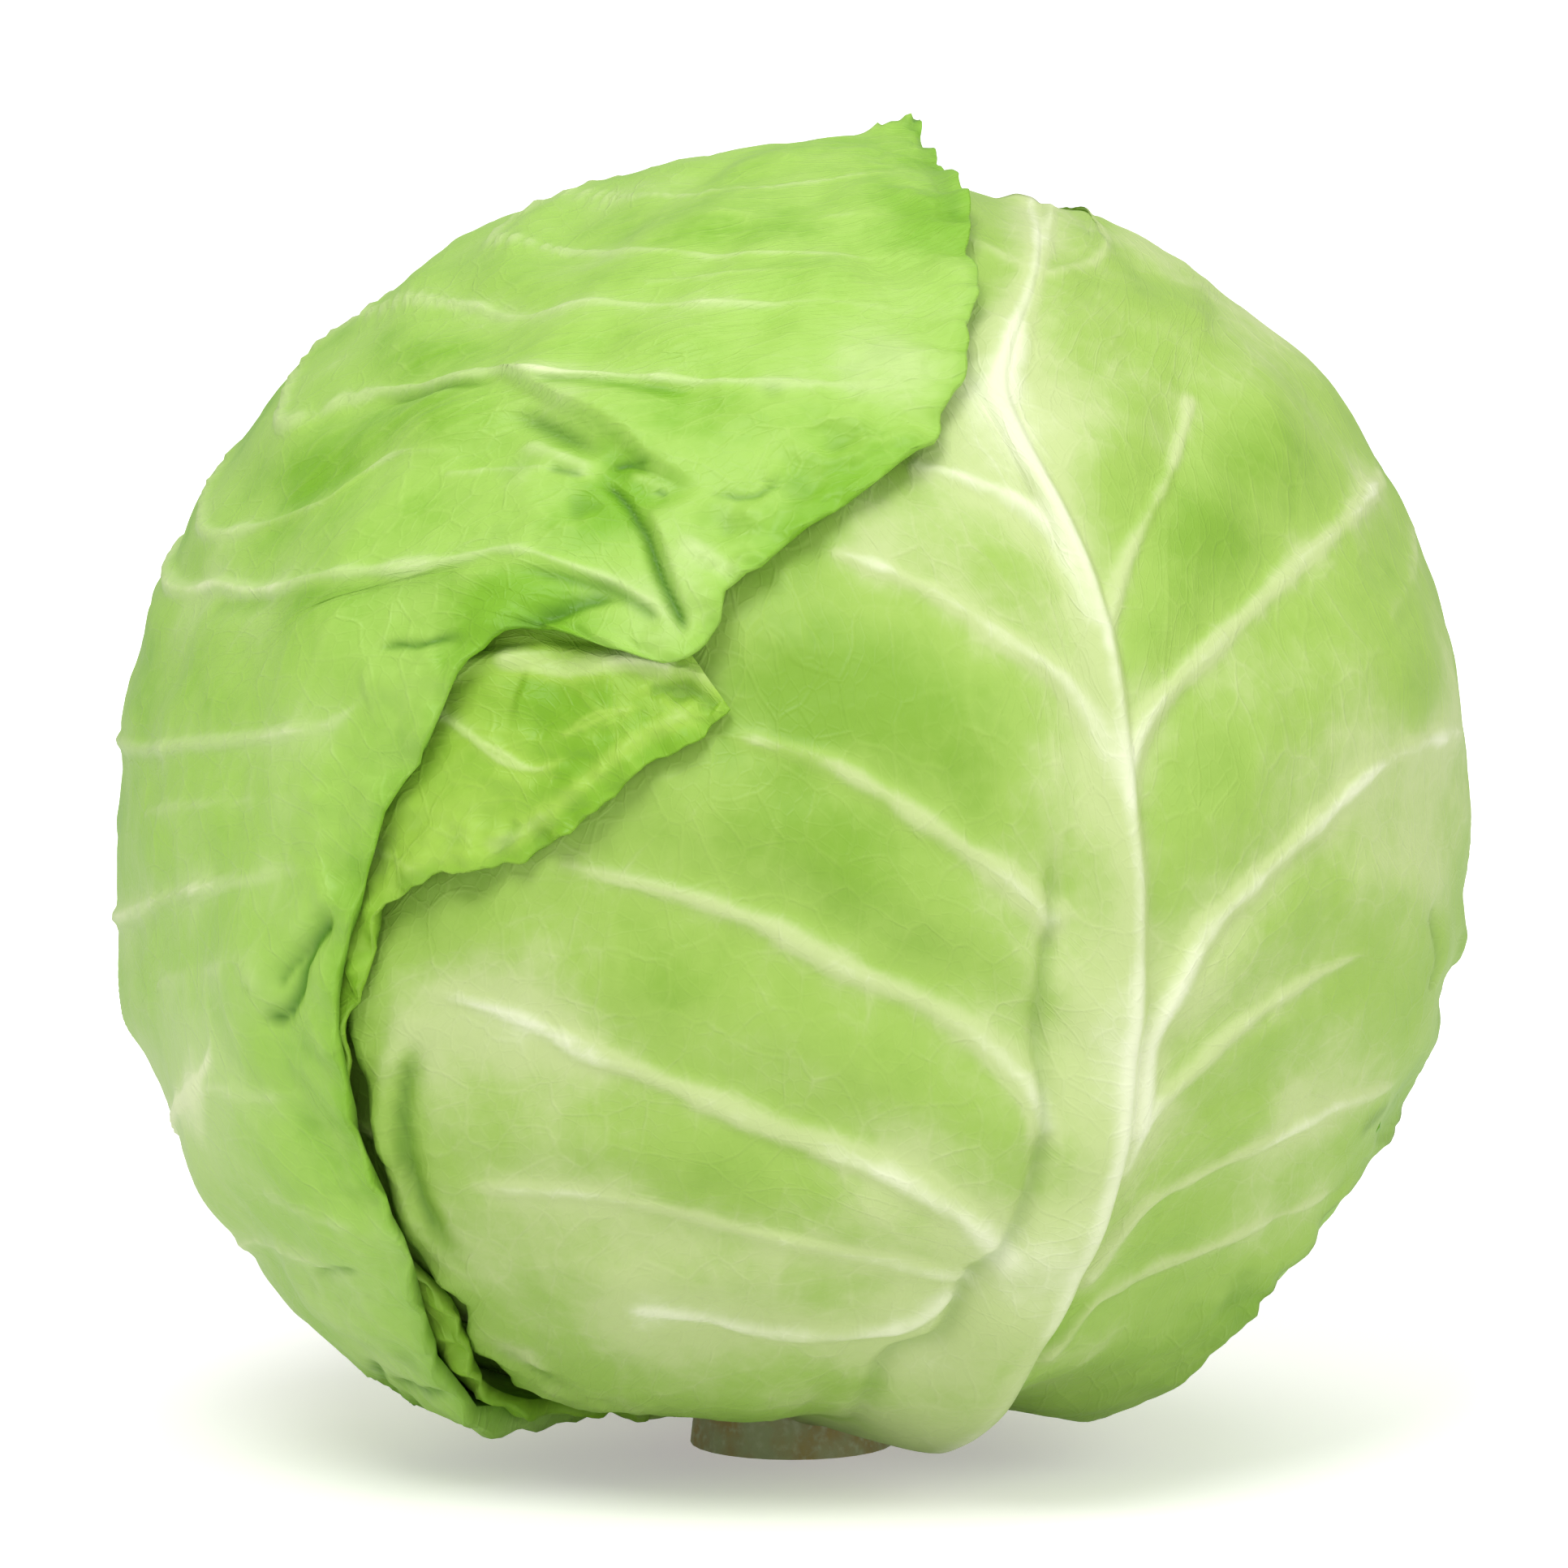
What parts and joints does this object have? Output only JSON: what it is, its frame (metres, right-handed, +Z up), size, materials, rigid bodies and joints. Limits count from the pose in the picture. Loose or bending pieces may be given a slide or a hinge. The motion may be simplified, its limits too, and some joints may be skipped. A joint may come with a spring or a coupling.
{
  "type": "cabbage head",
  "caption": "Round head of white cabbage on its cut stem, with loose ribbed wrapper leaves lying one over another round a packed heart.",
  "frame": {"origin": "centre of the flat cut face of the stem, which the head stands on", "axes": "+Z up through the head, -Y towards the side the picture shows, +X to the right in the picture"},
  "size_m": [0.178, 0.1786, 0.1742],
  "materials": {
    "stump": "pale green-brown cut stem, matte",
    "heart": "pale yellow-green packed leaves, satin",
    "leaf_low_front": "olive green leaf, satin",
    "leaf_back": "mid green leaf with pale veins, waxy satin",
    "leaf_front_rib": "pale green leaf with a white-green rib and veins, waxy satin",
    "leaf_left_tucked": "fresh green leaf, waxy satin",
    "leaf_left_wrap": "bright green leaf with pale veins, waxy satin"
  },
  "bodies": {
    "root": {"stump": "stump", "heart": "heart", "leaf_low_front": "leaf_low_front", "leaf_back": "leaf_back", "leaf_front_rib": "leaf_front_rib", "leaf_left_tucked": "leaf_left_tucked", "leaf_left_wrap": "leaf_left_wrap"}
  },
  "joints": []
}
